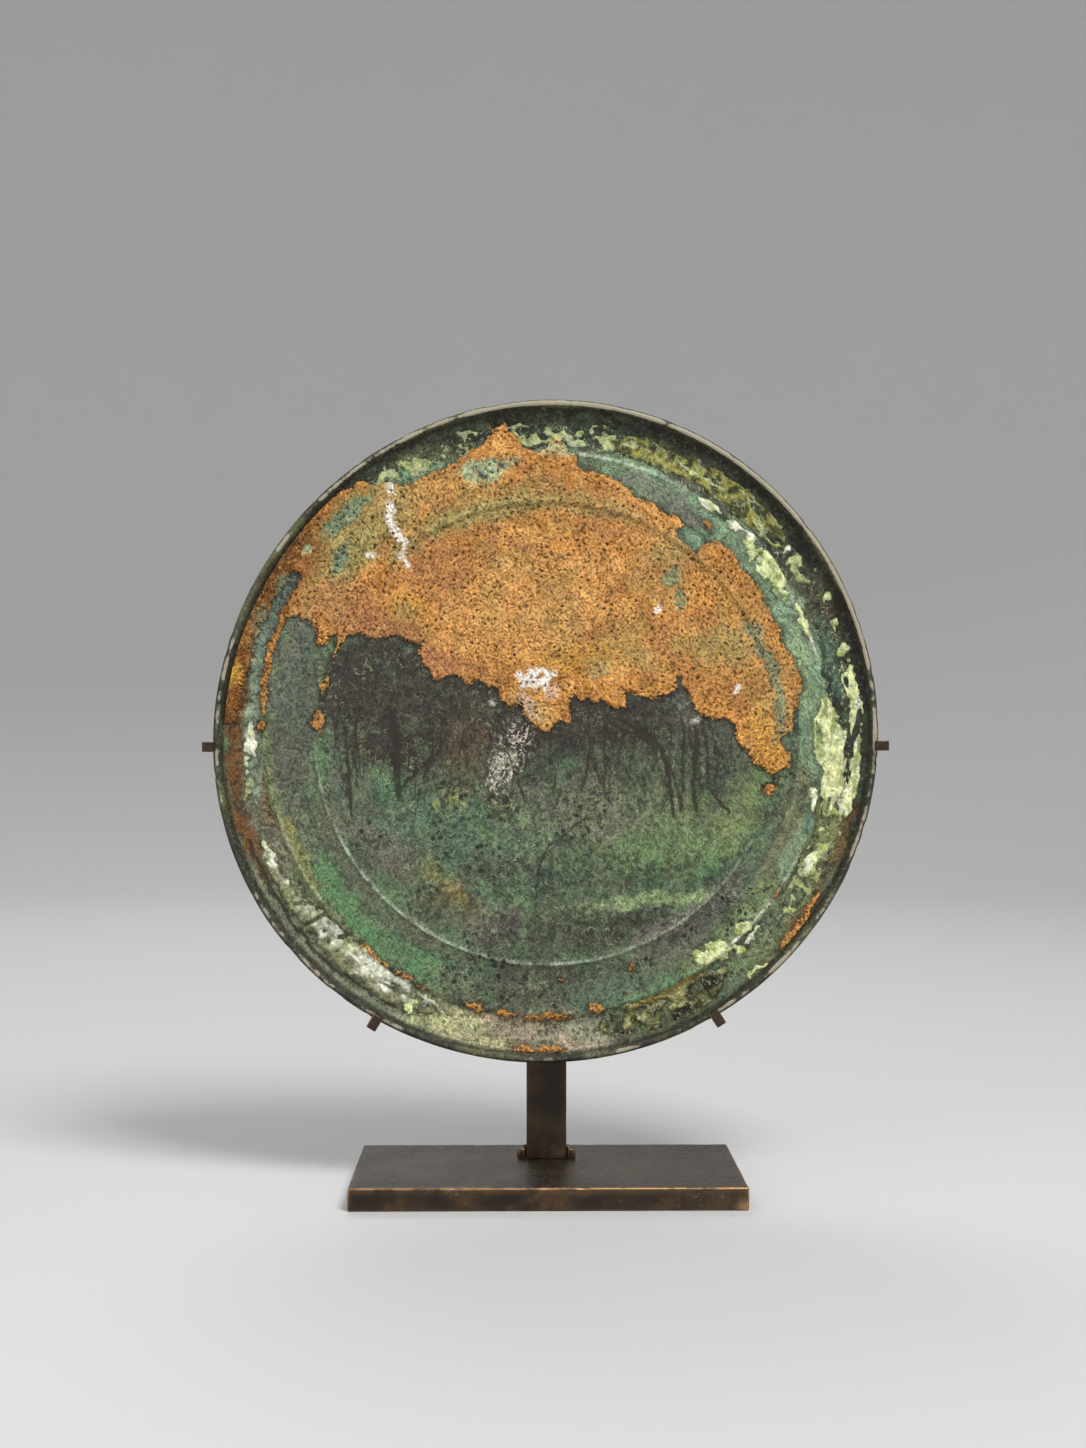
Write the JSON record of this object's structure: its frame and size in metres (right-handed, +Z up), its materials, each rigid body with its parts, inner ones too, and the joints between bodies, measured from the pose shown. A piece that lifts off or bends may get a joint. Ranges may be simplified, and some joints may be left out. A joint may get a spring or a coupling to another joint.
{
  "type": "bronze mirror",
  "caption": "Round bronze mirror with a raised rim and a flaking crust of patina, held upright in a clawed cradle on a bar and a flat plate.",
  "frame": {"origin": "centre of the underside of the base plate", "axes": "+Z up along the post, -Y out of the mirror's ringed front, +X to the right when the ringed front is seen"},
  "size_m": [0.2149, 0.064, 0.2479],
  "materials": {
    "bronze": "matt green and ochre corrosion over cast bronze",
    "stand_metal": "dark brown patinated satin brass with worn edges"
  },
  "bodies": {
    "root": {"base_plate": "stand_metal", "post": "stand_metal", "foot_collar": "stand_metal", "cradle": "stand_metal", "mirror": "bronze"}
  },
  "joints": []
}
